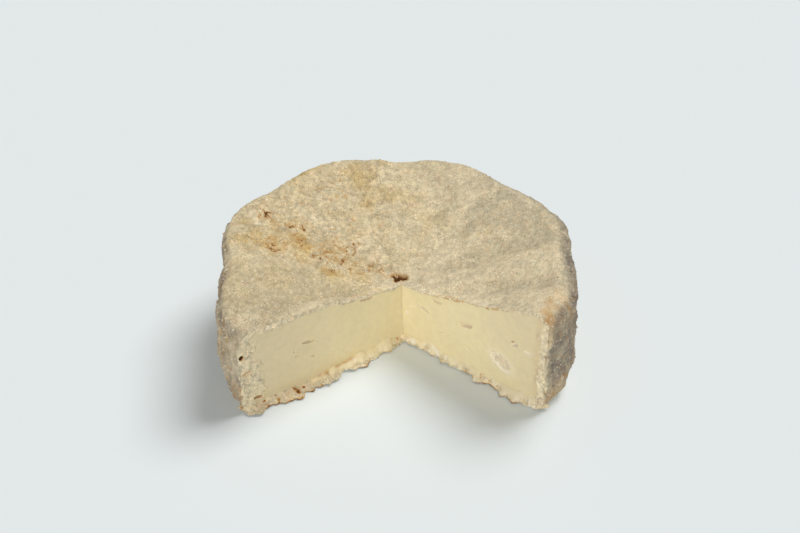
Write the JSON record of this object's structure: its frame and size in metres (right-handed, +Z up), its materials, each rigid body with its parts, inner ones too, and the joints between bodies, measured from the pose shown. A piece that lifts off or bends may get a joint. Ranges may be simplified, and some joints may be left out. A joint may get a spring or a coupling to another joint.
{
  "type": "camembert wheel with a wedge cut out",
  "caption": "Small soft-ripened cheese wheel with a sunken top, a rough pale rind and a wide wedge cut out, which shows smooth yellow paste.",
  "frame": {"origin": "middle of the object's box, on the flat underside that it rests on", "axes": "+Z up; the wedge has been cut out towards -Y, so both cut faces are seen from -Y; +X to the right as seen from there"},
  "size_m": [0.114, 0.0916, 0.0372],
  "materials": {
    "rind": "matt, granular, velvety crust",
    "paste": "smooth, waxy, slightly glossy cut face"
  },
  "bodies": {
    "root": {"cheese": "rind"}
  },
  "joints": []
}
